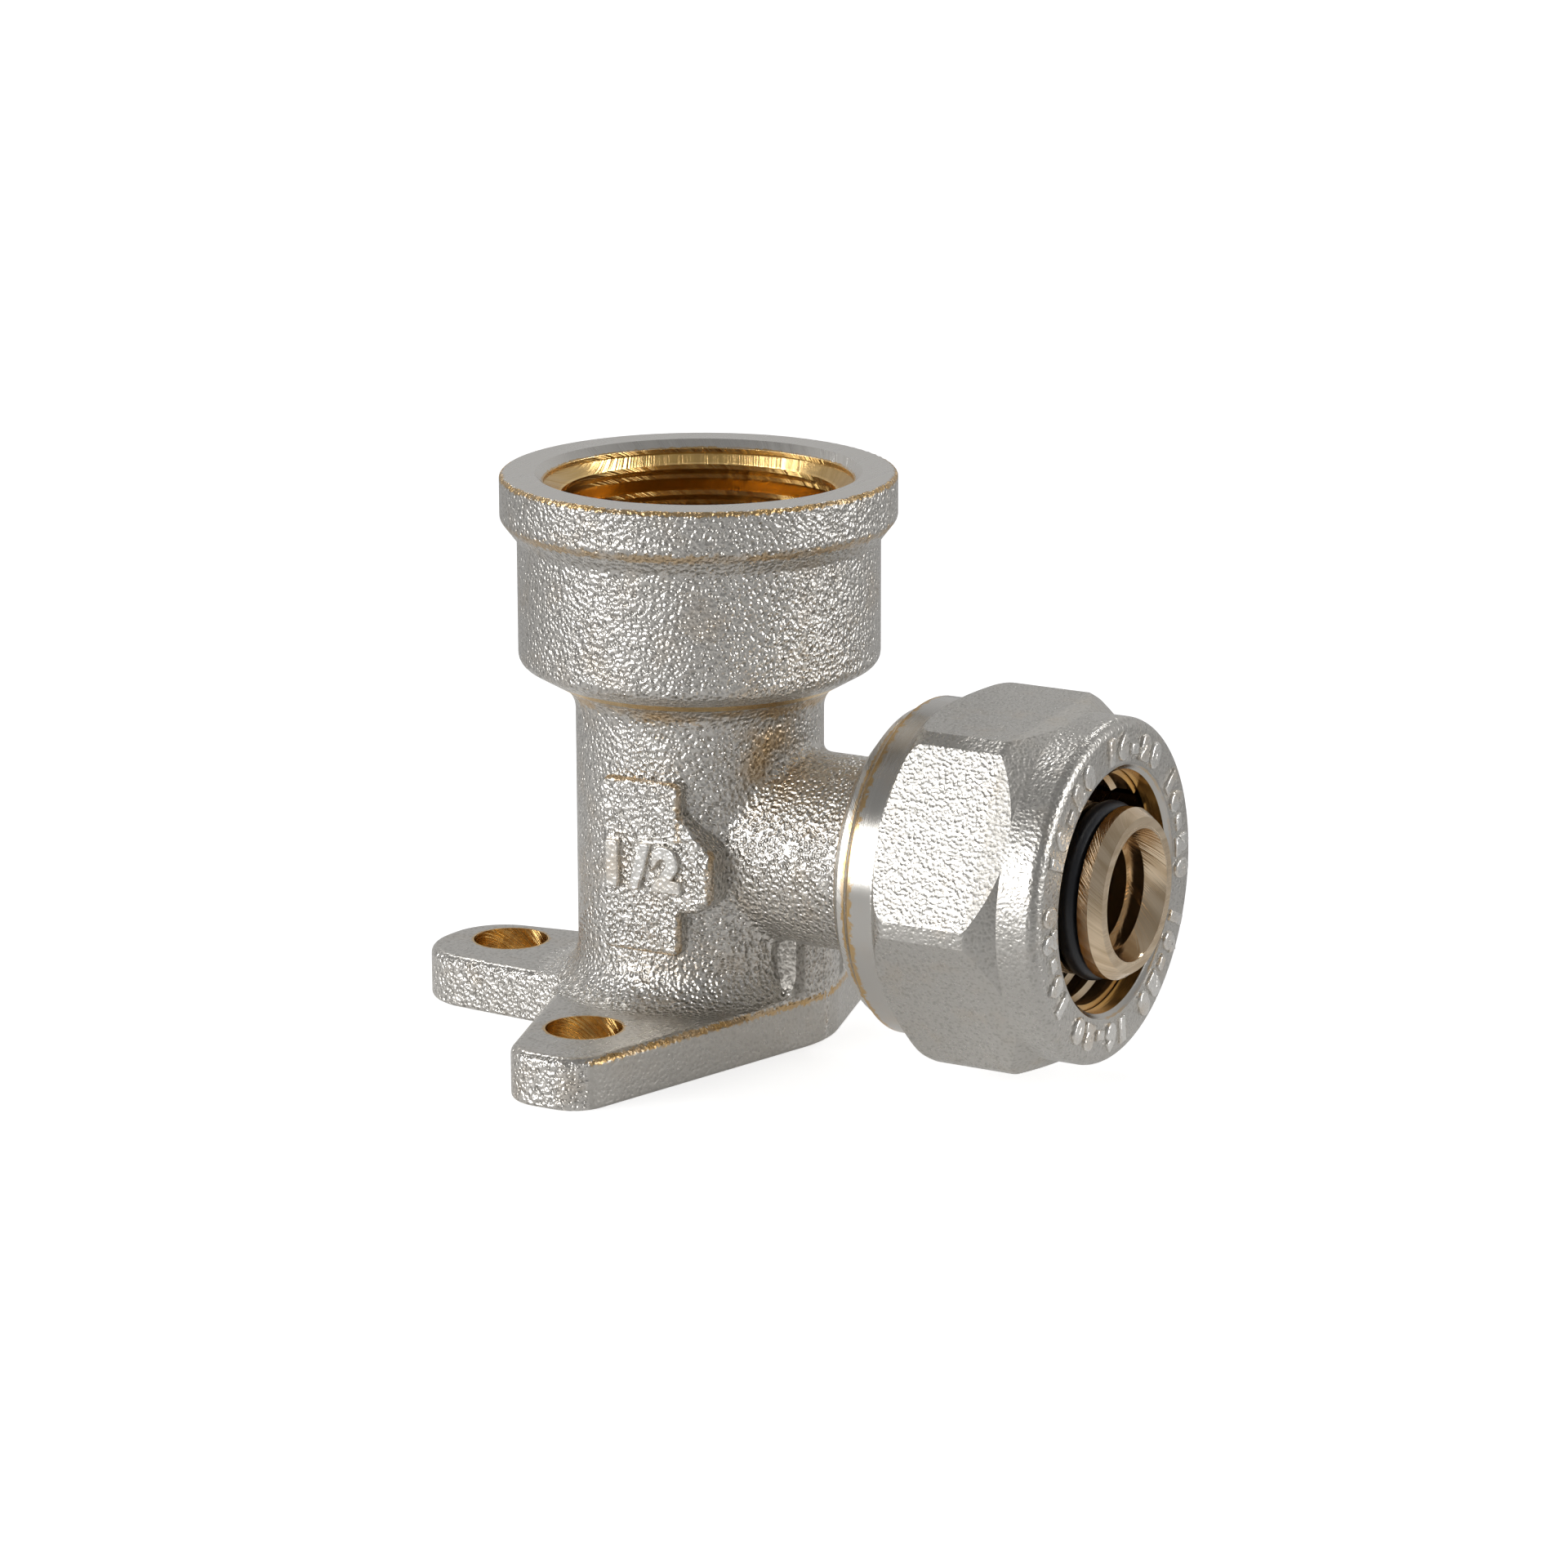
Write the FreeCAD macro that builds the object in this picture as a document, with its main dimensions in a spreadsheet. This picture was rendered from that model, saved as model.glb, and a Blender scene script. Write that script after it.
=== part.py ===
import FreeCAD, Part
import math
import os
import Sketcher

# Wall plate elbow: a forged brass elbow with a three-eared wall plate, a G 1/2 female
# socket on top and a 16 mm compression connection on its side.
# +Z is the socket's axis, with the plate's back face at z = 0. +X is the outlet's axis.
# The outlet's profile is drawn with x along the outlet and y as the radius.

doc = FreeCAD.newDocument("wall_plate_elbow")
sheet = doc.addObject("Spreadsheet::Sheet", "dims")

SIZES = [
    # Barrel and threaded socket
    ("total_height", 38.6),
    ("barrel_diameter", 16.9),
    ("barrel_foot_radius", 2.5),
    ("foot_land", 0.01),
    ("socket_diameter", 24.6),
    ("socket_height", 12.8),
    ("socket_cone_angle", 30.0),
    ("socket_shoulder_radius", 0.9),
    ("socket_neck_radius", 2.2),
    ("collar_diameter", 26.9),
    ("collar_height", 3.0),
    ("collar_taper_height", 1.5),
    ("collar_edge_radius", 0.7),
    ("rim_edge_radius", 0.35),
    # Bore of the socket and its G 1/2 thread
    ("thread_major_diameter", 20.955),
    ("thread_minor_diameter", 18.631),
    ("thread_pitch", 1.814),
    ("thread_flank_angle", 27.5),
    ("thread_crest_width", 0.32),
    ("thread_first_crest", 1.6),
    ("thread_mouth_diameter", 22.1),
    ("thread_depth", 13.0),
    ("passage_diameter", 12.8),
    ("passage_floor_height", 7.6),
    ("drill_point_angle", 20.0),
    # Wall plate
    ("plate_thickness", 3.6),
    ("plate_edge_radius", 0.6),
    ("plate_back_edge_radius", 0.3),
    ("nose_reach", 10.2),
    ("nose_radius", 8.0),
    ("side_ear_reach", 22.3),
    ("side_ear_front", 3.8),
    ("side_ear_back", 2.0),
    ("side_ear_tip_radius", 2.8),
    ("notch_back", 7.1),
    ("notch_left", 5.2),
    ("notch_right", 6.5),
    ("notch_radius", 1.0),
    ("rear_ear_left", 3.2),
    ("rear_ear_left_reach", 19.9),
    ("rear_ear_right", 5.6),
    ("rear_ear_right_reach", 20.7),
    ("rear_ear_tip_radius", 4.4),
    ("screw_hole_diameter", 5.2),
    ("screw_hole_radius_from_axis", 15.5),
    # Keel that carries the neck on the plate
    ("keel_width", 6.4),
    ("keel_foot_radius", 2.0),
    # Outlet: neck, shoulder, core of the male thread, stem
    ("outlet_height", 13.5),
    ("neck_diameter", 13.2),
    ("neck_root_radius", 1.0),
    ("shoulder_start", 15.7),
    ("shoulder_step", 1.5),
    ("shoulder_cone_depth", 1.0),
    ("shoulder_cone_length", 0.8),
    ("shoulder_length", 1.3),
    ("thread_core_diameter", 18.2),
    ("thread_ridge_height", 0.4),
    ("male_thread_length", 6.6),
    ("male_thread_chamfer", 0.4),
    ("recess_wall", 0.9),
    ("recess_depth", 3.0),
    ("stem_diameter", 11.5),
    ("stem_tip", 33.2),
    ("stem_nose_length", 0.8),
    ("stem_nose_depth", 0.55),
    ("stem_bore_diameter", 7.0),
    ("stem_counterbore_diameter", 7.8),
    ("stem_counterbore_depth", 2.5),
    ("stem_mouth_diameter", 8.9),
    ("stem_mouth_length", 1.4),
    # Seals on the stem
    ("ring_section", 1.6),
    ("ring_outside_diameter", 12.0),
    ("ring_groove_width", 1.9),
    ("ring_clearance", 0.02),
    ("front_groove_from_tip", 2.5),
    ("rear_groove_from_tip", 5.7),
    ("washer_thickness", 1.2),
    ("washer_clearance", 0.05),
    # Raised pads on both sides of the barrel
    ("pad_stand_off", 8.9),
    ("pad_back", 2.5),
    ("pad_front", 3.45),
    ("pad_bottom", 7.2),
    ("pad_top", 19.2),
    ("pad_corner_radius", 0.6),
    ("pad_edge_radius", 0.35),
    ("lobe_front", 5.9),
    ("lobe_bottom", 10.3),
    ("lobe_top", 17.0),
    ("lobe_radius", 1.8),
    # Compression nut, its outside given as walls over its thread
    ("nut_gap", 0.2),
    ("nut_front", 31.66),
    ("nut_flat_wall", 1.95),
    ("nut_corner_radius", 1.4),
    ("nut_turn", 3.5),
    ("nut_corner_wall", 3.4),
    ("nut_rear_collar_wall", 1.85),
    ("nut_rear_collar_length", 2.3),
    ("nut_rear_chamfer", 0.5),
    ("nut_rear_cone_length", 1.1),
    ("nut_rear_cone_radius", 1.4),
    ("nut_front_collar_wall", 2.05),
    ("nut_front_collar_length", 2.9),
    ("nut_front_cone_length", 1.7),
    ("nut_front_cone_radius", 0.7),
    ("nut_front_edge_radius", 0.8),
    ("nut_mouth_length", 1.5),
    ("nut_mouth_chamfer", 0.35),
    ("nut_seat_length", 1.1),
    ("thread_clearance", 0.05),
    # Split ring
    ("pipe_wall_space", 2.0),
    ("split_ring_clearance", 0.12),
    ("split_ring_side_clearance", 0.45),
    ("split_ring_cone_depth", 0.95),
    ("split_ring_tooth_pitch", 1.7),
    ("split_ring_tooth_depth", 0.3),
    ("split_ring_tooth_flank", 0.6),
    ("split_ring_tooth_root", 0.8),
    ("split_ring_slit", 1.8),
    ("split_ring_slit_angle", 35.0),
    # How far a cutting profile runs past the surface it opens
    ("overcut", 1.0),
]
for row, (alias, value) in enumerate(SIZES, start=1):
    sheet.set(f"A{row}", alias.replace("_", " "))
    sheet.set(f"B{row}", str(value))
    sheet.setAlias(f"B{row}", alias)
doc.recompute()


# Every size used below is an expression on the sheet's cells, written once as text.
def size(expression):
    return float(sheet.evalExpression(expression))


def half(alias):
    return f"dims.{alias} / 2"


# Radii that several pieces share
STEM = half("stem_diameter")
MALE_CORE = half("thread_core_diameter")
RECESS = f"({MALE_CORE} - dims.recess_wall)"
NUT_BORE = f"({MALE_CORE} + dims.thread_ridge_height + dims.thread_clearance)"
RING_OUTSIDE = f"({NUT_BORE} - dims.split_ring_side_clearance)"
RING_LAND = f"({RING_OUTSIDE} - dims.split_ring_cone_depth)"


def origin_plane(body, role):
    return next(f for f in body.Origin.OriginFeatures if f.Role == role)


def tangent_length(before, corner, after, radius):
    back = FreeCAD.Vector(*before) - FreeCAD.Vector(*corner)
    ahead = FreeCAD.Vector(*after) - FreeCAD.Vector(*corner)
    opening = back.getAngle(ahead)
    return radius / math.tan(opening / 2), back.normalize(), ahead.normalize()


# A closed outline of straight lines through corners given as expressions (u, v) or
# (u, v, radius). A corner with a radius is rounded by an arc tangent to both lines.
def outline(sketch, corners):
    points = [(size(c[0]), size(c[1]), 0.0) for c in corners]
    count = len(corners)
    starts, ends, arcs = {}, {}, {}
    for i, corner in enumerate(corners):
        point = FreeCAD.Vector(*points[i])
        starts[i] = ends[i] = point
        if len(corner) == 3:
            radius = size(corner[2])
            reach, back, ahead = tangent_length(points[i - 1], points[i], points[(i + 1) % count], radius)
            ends[i], starts[i] = point + back * reach, point + ahead * reach
            centre = point + (back + ahead).normalize() * math.hypot(reach, radius)
            arcs[i] = short_arc(centre, radius, ends[i], starts[i])
    first = sketch.GeometryCount
    lines = {}
    for i in range(count):
        lines[i] = sketch.addGeometry(Part.LineSegment(starts[i], ends[(i + 1) % count]), False)
    for i, corner in enumerate(corners):
        previous = lines[(i - 1) % count]
        if i in arcs:
            arc = sketch.addGeometry(arcs[i], False)
            mark = sketch.addGeometry(Part.Point(FreeCAD.Vector(*points[i])), True)
            arc_first, arc_last = arc_ends(sketch, arc, ends[i])
            sketch.addConstraint(Sketcher.Constraint("Tangent", previous, 2, arc, arc_first))
            sketch.addConstraint(Sketcher.Constraint("Tangent", arc, arc_last, lines[i], 1))
            sketch.addConstraint(Sketcher.Constraint("PointOnObject", mark, 1, previous))
            sketch.addConstraint(Sketcher.Constraint("PointOnObject", mark, 1, lines[i]))
            bind(sketch, Sketcher.Constraint("Radius", arc, size(corner[2])), f"radius_{first}_{i}", corner[2])
            place = mark
        else:
            sketch.addConstraint(Sketcher.Constraint("Coincident", previous, 2, lines[i], 1))
            place = lines[i]
        bind(sketch, Sketcher.Constraint("DistanceX", place, 1, points[i][0]), f"u_{first}_{i}", corner[0])
        bind(sketch, Sketcher.Constraint("DistanceY", place, 1, points[i][1]), f"v_{first}_{i}", corner[1])


# The shorter arc between two points of a circle, drawn counter-clockwise.
def short_arc(centre, radius, one, other):
    turn = (one - centre).cross(other - centre).z
    first, last = (one, other) if turn > 0 else (other, one)
    angles = [math.atan2(p.y - centre.y, p.x - centre.x) for p in (first, last)]
    if angles[1] < angles[0]:
        angles[1] += 2 * math.pi
    return Part.ArcOfCircle(Part.Circle(centre, FreeCAD.Vector(0, 0, 1), radius), *angles)


def arc_ends(sketch, arc, wanted_first):
    start = sketch.Geometry[arc].StartPoint
    return (1, 2) if start.distanceToPoint(wanted_first) < 1e-6 else (2, 1)


def bind(sketch, constraint, name, expression):
    index = sketch.addConstraint(constraint)
    sketch.renameConstraint(index, name)
    sketch.setExpression(f"Constraints.{name}", expression)


def circle(sketch, u, v, radius):
    centre = FreeCAD.Vector(size(u), size(v), 0)
    index = sketch.addGeometry(Part.Circle(centre, FreeCAD.Vector(0, 0, 1), size(radius)), False)
    bind(sketch, Sketcher.Constraint("DistanceX", index, 3, centre.x), f"u_{index}", u)
    bind(sketch, Sketcher.Constraint("DistanceY", index, 3, centre.y), f"v_{index}", v)
    bind(sketch, Sketcher.Constraint("Radius", index, size(radius)), f"radius_{index}", radius)


def sketch_on(body, name, role, lift=None, shift=None):
    sketch = body.newObject("Sketcher::SketchObject", name)
    sketch.AttachmentSupport = (origin_plane(body, role), [""])
    sketch.MapMode = "FlatFace"
    if lift:
        sketch.setExpression(".AttachmentOffset.Base.y", lift)
    if shift:
        sketch.setExpression(".AttachmentOffset.Base.z", shift)
    return sketch


def new_body(name):
    body = doc.addObject("PartDesign::Body", name)
    body.Label = name
    return body


def turned(body, name, sketch, axis):
    feature = body.newObject("PartDesign::Revolution", name)
    feature.Profile = sketch
    feature.ReferenceAxis = (sketch, [axis])
    feature.Angle = 360
    doc.recompute()
    return feature


# A cut that must take material away: it is turned round if its first direction misses.
def cut(body, kind, name, sketch, axis=None, length=None):
    before = body.Shape.Volume
    feature = body.newObject(f"PartDesign::{kind}", name)
    feature.Profile = sketch
    if axis:
        feature.ReferenceAxis = (sketch, [axis])
        feature.Angle = 360
    if length:
        feature.setExpression("Length", length)
    doc.recompute()
    if body.Shape.Volume > before - 1e-3:
        feature.Reversed = True
        doc.recompute()
    if body.Shape.Volume > before - 1e-3:
        raise RuntimeError(f"{name} cuts nothing")
    return feature


def pad(body, name, sketch, length, symmetric=False):
    feature = body.newObject("PartDesign::Pad", name)
    feature.Profile = sketch
    feature.setExpression("Length", length)
    feature.Midplane = symmetric
    doc.recompute()
    return feature


# Rounds the edges of a feature whose points all satisfy the test.
def round_edges(body, name, feature, radius, test):
    names = []
    for i, edge in enumerate(feature.Shape.Edges, start=1):
        span = edge.LastParameter - edge.FirstParameter
        samples = [edge.valueAt(edge.FirstParameter + span * k / 6) for k in range(7)]
        if all(test(p) for p in samples):
            names.append(f"Edge{i}")
    if not names:
        raise RuntimeError(f"{name} finds no edge")
    fillet = body.newObject("PartDesign::Fillet", name)
    fillet.Base = (feature, names)
    fillet.setExpression("Radius", radius)
    doc.recompute()
    return fillet


# Elbow body. The rear ear was trimmed off centre, closer to its hole on the left (+Y).
def plate_corners():
    tip, notch, rear_tip = "dims.side_ear_tip_radius", "dims.notch_radius", "dims.rear_ear_tip_radius"
    return [
        ("dims.nose_reach", "0", "dims.nose_radius"),
        ("dims.side_ear_front", "dims.side_ear_reach", tip),
        ("-dims.side_ear_back", "dims.side_ear_reach", tip),
        ("-dims.notch_back", "dims.notch_left", notch),
        ("-dims.rear_ear_left_reach", "dims.rear_ear_left", rear_tip),
        ("-dims.rear_ear_right_reach", "-dims.rear_ear_right", rear_tip),
        ("-dims.notch_back", "-dims.notch_right", notch),
        ("-dims.side_ear_back", "-dims.side_ear_reach", tip),
        ("dims.side_ear_front", "-dims.side_ear_reach", tip),
    ]


def build_plate(body):
    plate_sketch = sketch_on(body, "plate_outline", "XY_Plane")
    outline(plate_sketch, plate_corners())
    plate = pad(body, "plate", plate_sketch, "dims.plate_thickness")
    top = size("dims.plate_thickness")
    rounded = round_edges(body, "plate_edge", plate, "dims.plate_edge_radius", lambda p: abs(p.z - top) < 1e-6)
    round_edges(body, "plate_back_edge", rounded, "dims.plate_back_edge_radius", lambda p: abs(p.z) < 1e-6)


def build_barrel(body):
    barrel, socket, collar = half("barrel_diameter"), half("socket_diameter"), half("collar_diameter")
    foot = f"{barrel} + dims.barrel_foot_radius + dims.foot_land"
    shoulder = "dims.total_height - dims.socket_height"
    cone_foot = f"{shoulder} - ({socket} - {barrel}) * tan(dims.socket_cone_angle)"
    collar_foot = "dims.total_height - dims.collar_height"
    sketch = sketch_on(body, "barrel_profile", "XZ_Plane")
    outline(sketch, [
        ("0", "dims.plate_thickness / 2"),
        (foot, "dims.plate_thickness / 2"),
        (foot, "dims.plate_thickness"),
        (barrel, "dims.plate_thickness", "dims.barrel_foot_radius"),
        (barrel, cone_foot, "dims.socket_neck_radius"),
        (socket, shoulder, "dims.socket_shoulder_radius"),
        (socket, f"{collar_foot} - dims.collar_taper_height", "dims.collar_edge_radius"),
        (collar, collar_foot, "dims.collar_edge_radius"),
        (collar, "dims.total_height", "dims.rim_edge_radius"),
        ("0", "dims.total_height"),
    ])
    turned(body, "barrel", sketch, "V_Axis")


def build_keel(body):
    side = half("keel_width")
    foot = f"{side} + dims.keel_foot_radius + dims.foot_land"
    sketch = sketch_on(body, "keel_section", "YZ_Plane")
    outline(sketch, [
        (f"-({foot})", "dims.plate_thickness / 2"),
        (foot, "dims.plate_thickness / 2"),
        (foot, "dims.plate_thickness"),
        (side, "dims.plate_thickness", "dims.keel_foot_radius"),
        (side, "dims.outlet_height"),
        (f"-({side})", "dims.outlet_height"),
        (f"-({side})", "dims.plate_thickness", "dims.keel_foot_radius"),
        (f"-({foot})", "dims.plate_thickness"),
    ])
    pad(body, "keel", sketch, "dims.nose_reach")


# The forging is trimmed to the plate's outline, so foot and keel end in its upright edge.
def trim_to_outline(body):
    sketch = sketch_on(body, "trim_outline", "XY_Plane")
    reach = "(dims.side_ear_reach + dims.overcut)"
    outline(sketch, [(f"-{reach}", f"-{reach}"), (reach, f"-{reach}"), (reach, reach), (f"-{reach}", reach)])
    outline(sketch, plate_corners())
    cut(body, "Pocket", "trim", sketch, length="dims.outlet_height")


def build_outlet(body):
    neck = half("neck_diameter")
    shoulder = f"({MALE_CORE} + dims.shoulder_step)"
    shoulder_end = "dims.shoulder_start + dims.shoulder_length"
    front = f"{shoulder_end} + dims.male_thread_length"
    tip = "dims.stem_tip"
    groove_floor = f"{half('ring_outside_diameter')} - dims.ring_section - dims.ring_clearance"
    corners = [
        ("0", "0"),
        ("0", neck),
        ("dims.shoulder_start", neck),
        ("dims.shoulder_start", f"{shoulder} - dims.shoulder_cone_depth"),
        ("dims.shoulder_start + dims.shoulder_cone_length", shoulder),
        (shoulder_end, shoulder),
        (shoulder_end, MALE_CORE),
        (f"{front} - dims.male_thread_chamfer", MALE_CORE),
        (front, f"{MALE_CORE} - dims.male_thread_chamfer"),
        (front, RECESS),
        (f"{front} - dims.recess_depth", RECESS),
        (f"{front} - dims.recess_depth", STEM),
    ]
    for groove in ("dims.rear_groove_from_tip", "dims.front_groove_from_tip"):
        back_wall = f"{tip} - {groove} - dims.ring_groove_width / 2"
        front_wall = f"{tip} - {groove} + dims.ring_groove_width / 2"
        corners += [(back_wall, STEM), (back_wall, groove_floor), (front_wall, groove_floor), (front_wall, STEM)]
    corners += [
        (f"{tip} - dims.stem_nose_length", STEM),
        (tip, f"{STEM} - dims.stem_nose_depth"),
        (tip, "0"),
    ]
    sketch = sketch_on(body, "outlet_profile", "XZ_Plane", lift="dims.outlet_height")
    outline(sketch, corners)
    outlet = turned(body, "outlet", sketch, "H_Axis")
    barrel_radius, neck_radius = size(half("barrel_diameter")), size(neck)
    axis_height = size("dims.outlet_height")

    def on_root(p):
        on_barrel = abs(math.hypot(p.x, p.y) - barrel_radius) < 1e-3
        return on_barrel and abs(math.hypot(p.y, p.z - axis_height) - neck_radius) < 1e-3 and p.x > 0

    round_edges(body, "neck_root", outlet, "dims.neck_root_radius", on_root)


def build_pads(body):
    sketch = sketch_on(body, "pad_outline", "XZ_Plane")
    corner = "dims.pad_corner_radius"
    outline(sketch, [
        ("-dims.pad_back", "dims.pad_bottom", corner),
        ("dims.pad_front", "dims.pad_bottom", corner),
        ("dims.pad_front", "dims.lobe_bottom"),
        ("dims.lobe_front", "dims.lobe_bottom", "dims.lobe_radius"),
        ("dims.lobe_front", "dims.lobe_top - (dims.lobe_front - dims.pad_front)", corner),
        ("dims.pad_front", "dims.lobe_top"),
        ("dims.pad_front", "dims.pad_top", corner),
        ("-dims.pad_back", "dims.pad_top", corner),
    ])
    pads = pad(body, "pads", sketch, "dims.pad_stand_off * 2", symmetric=True)
    face = size("dims.pad_stand_off")
    round_edges(body, "pad_edge", pads, "dims.pad_edge_radius", lambda p: abs(abs(p.y) - face) < 1e-6)


# The socket's thread is drawn as rings of its true section and pitch, the first crest just
# inside the mouth and as many more as its depth holds.
def thread_section():
    crest_radius, root_radius = half("thread_minor_diameter"), half("thread_major_diameter")
    crest = "dims.thread_crest_width / 2"
    ridge_foot = f"({crest} + ({root_radius} - {crest_radius}) * tan(dims.thread_flank_angle))"
    room = size(f"dims.thread_depth - dims.thread_first_crest - {ridge_foot}")
    corners = []
    for k in range(int(room / size("dims.thread_pitch")) + 1):
        centre = f"dims.total_height - dims.thread_first_crest - {k} * dims.thread_pitch"
        corners += [
            (root_radius, f"{centre} + {ridge_foot}"),
            (crest_radius, f"{centre} + {crest}"),
            (crest_radius, f"{centre} - {crest}"),
            (root_radius, f"{centre} - {ridge_foot}"),
        ]
    return corners


def cut_socket_bore(body):
    bore, passage = half("thread_major_diameter"), half("passage_diameter")
    mouth = half("thread_mouth_diameter")
    floor = "dims.total_height - dims.thread_depth"
    step_foot = f"{floor} - ({bore} - {passage}) * tan(dims.socket_cone_angle)"
    drill_point = f"dims.passage_floor_height - {passage} * tan(dims.drill_point_angle)"
    above = "dims.total_height + dims.overcut"
    above_and_mouth = [
        ("0", above),
        (mouth, above),
        (mouth, "dims.total_height"),
        (bore, f"dims.total_height - ({mouth} - {bore})"),
    ]
    below = [
        (bore, floor),
        (passage, step_foot),
        (passage, "dims.passage_floor_height"),
        ("0", drill_point),
    ]
    sketch = sketch_on(body, "socket_bore_profile", "XZ_Plane")
    outline(sketch, above_and_mouth + thread_section() + below)
    cut(body, "Groove", "socket_bore", sketch, axis="V_Axis")


def cut_outlet_bore(body):
    tip, bore = "dims.stem_tip", half("stem_bore_diameter")
    counterbore = half("stem_counterbore_diameter")
    mouth = half("stem_mouth_diameter")
    sketch = sketch_on(body, "outlet_bore_profile", "XZ_Plane", lift="dims.outlet_height")
    outline(sketch, [
        ("0", "0"),
        ("0", bore),
        (f"{tip} - dims.stem_counterbore_depth", bore),
        (f"{tip} - dims.stem_counterbore_depth", counterbore),
        (f"{tip} - dims.stem_mouth_length", counterbore),
        (tip, mouth),
        (f"{tip} + dims.overcut", mouth),
        (f"{tip} + dims.overcut", "0"),
    ])
    cut(body, "Groove", "outlet_bore", sketch, axis="H_Axis")


def cut_screw_holes(body):
    sketch = sketch_on(body, "screw_holes_sketch", "XY_Plane")
    away = "dims.screw_hole_radius_from_axis"
    for u, v in ((f"-{away}", "0"), ("0", away), ("0", f"-{away}")):
        circle(sketch, u, v, half("screw_hole_diameter"))
    cut(body, "Pocket", "screw_holes", sketch, length="dims.plate_thickness + dims.overcut")


def build_elbow_body():
    body = new_body("elbow_body")
    build_plate(body)
    build_barrel(body)
    build_keel(body)
    trim_to_outline(body)
    build_outlet(body)
    build_pads(body)
    cut_socket_bore(body)
    cut_outlet_bore(body)
    cut_screw_holes(body)
    return body


# Compression nut: turned profile, then six flats
NUT_REAR = "dims.shoulder_start + dims.shoulder_length + dims.nut_gap"
SEAT_FRONT = "dims.nut_front - dims.nut_mouth_length"


def build_nut():
    body = new_body("compression_nut")
    rear_collar = f"{NUT_BORE} + dims.nut_rear_collar_wall"
    front_collar = f"{NUT_BORE} + dims.nut_front_collar_wall"
    corner = f"{NUT_BORE} + dims.nut_corner_wall"
    collar_end = f"{NUT_REAR} + dims.nut_rear_collar_length"
    collar_start = "dims.nut_front - dims.nut_front_collar_length"
    sketch = sketch_on(body, "nut_profile", "XZ_Plane", lift="dims.outlet_height")
    outline(sketch, [
        (NUT_REAR, f"{NUT_BORE} + dims.nut_rear_chamfer"),
        (NUT_REAR, f"{rear_collar} - dims.nut_rear_chamfer"),
        (f"{NUT_REAR} + dims.nut_rear_chamfer", rear_collar),
        (collar_end, rear_collar),
        (f"{collar_end} + dims.nut_rear_cone_length", corner, "dims.nut_rear_cone_radius"),
        (f"{collar_start} - dims.nut_front_cone_length", corner, "dims.nut_front_cone_radius"),
        (collar_start, front_collar),
        ("dims.nut_front", front_collar, "dims.nut_front_edge_radius"),
        ("dims.nut_front", f"{RING_LAND} + dims.nut_mouth_chamfer"),
        ("dims.nut_front - dims.nut_mouth_chamfer", RING_LAND),
        (SEAT_FRONT, RING_LAND),
        (f"{SEAT_FRONT} - dims.nut_seat_length", f"{RING_LAND} + dims.nut_seat_length"),
        (f"{SEAT_FRONT} - dims.nut_seat_length", NUT_BORE),
        (f"{NUT_REAR} + dims.nut_rear_chamfer", NUT_BORE),
    ])
    turned(body, "nut_blank", sketch, "H_Axis")

    flats = sketch_on(body, "flats_outline", "YZ_Plane", lift="dims.outlet_height", shift=collar_end)
    reach = f"({corner} + dims.overcut)"
    outline(flats, [(f"-{reach}", f"-{reach}"), (reach, f"-{reach}"), (reach, reach), (f"-{reach}", reach)])
    sharp = f"({NUT_BORE} + dims.nut_flat_wall) / cos(30)"
    corners = []
    for k in range(6):
        angle = f"({60 * k} + dims.nut_turn)"
        corners.append((f"{sharp} * cos({angle})", f"{sharp} * sin({angle})", "dims.nut_corner_radius"))
    outline(flats, corners)
    cut(body, "Pocket", "flats", flats, length=f"{collar_start} - ({collar_end})")
    return body


# Split ring: a turned olive with teeth inside, then its slit. Its cones end at the radius
# of the nut's mouth, so they run beside the nut's seat at the ring's end clearance.
def build_split_ring():
    body = new_body("split_ring")
    bore = f"({STEM} + dims.pipe_wall_space)"
    front = f"{SEAT_FRONT} - dims.split_ring_clearance"
    rear = f"{NUT_REAR} - dims.nut_gap + dims.male_thread_length + dims.split_ring_clearance"
    cone = "dims.split_ring_cone_depth"
    root = f"{bore} + dims.split_ring_tooth_depth"
    corners = [
        (rear, bore),
        (rear, RING_LAND),
        (f"{rear} + {cone}", RING_OUTSIDE),
        (f"{front} - {cone}", RING_OUTSIDE),
        (front, RING_LAND),
        (front, bore),
    ]
    teeth = int((size(front) - size(rear)) / size("dims.split_ring_tooth_pitch"))
    for k in range(teeth):
        crest = f"{front} - dims.split_ring_tooth_pitch * {k}"
        if k:
            corners.append((crest, bore))
        corners.append((f"{crest} - dims.split_ring_tooth_flank", root))
        corners.append((f"{crest} - dims.split_ring_tooth_flank - dims.split_ring_tooth_root", root))
    sketch = sketch_on(body, "split_ring_profile", "XZ_Plane", lift="dims.outlet_height")
    outline(sketch, corners)
    turned(body, "split_ring_blank", sketch, "H_Axis")

    slit = sketch_on(body, "slit_outline", "YZ_Plane", lift="dims.outlet_height", shift=rear)
    reach, width = f"({RING_OUTSIDE} + dims.overcut)", half("split_ring_slit")
    angle = "dims.split_ring_slit_angle"
    corners = []
    for along, across in (("0", f"-{width}"), (reach, f"-{width}"), (reach, width), ("0", width)):
        u = f"({along}) * cos({angle}) - ({across}) * sin({angle})"
        v = f"({along}) * sin({angle}) + ({across}) * cos({angle})"
        corners.append((u, v))
    outline(slit, corners)
    cut(body, "Pocket", "slit", slit, length=f"{front} - ({rear})")
    return body


def build_seal(name, from_tip):
    body = new_body(name)
    centre = f"{half('ring_outside_diameter')} - {half('ring_section')}"
    sketch = sketch_on(body, f"{name}_section", "XZ_Plane", lift="dims.outlet_height")
    circle(sketch, f"dims.stem_tip - {from_tip}", centre, half("ring_section"))
    turned(body, f"{name}_torus", sketch, "H_Axis")
    return body


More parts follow.
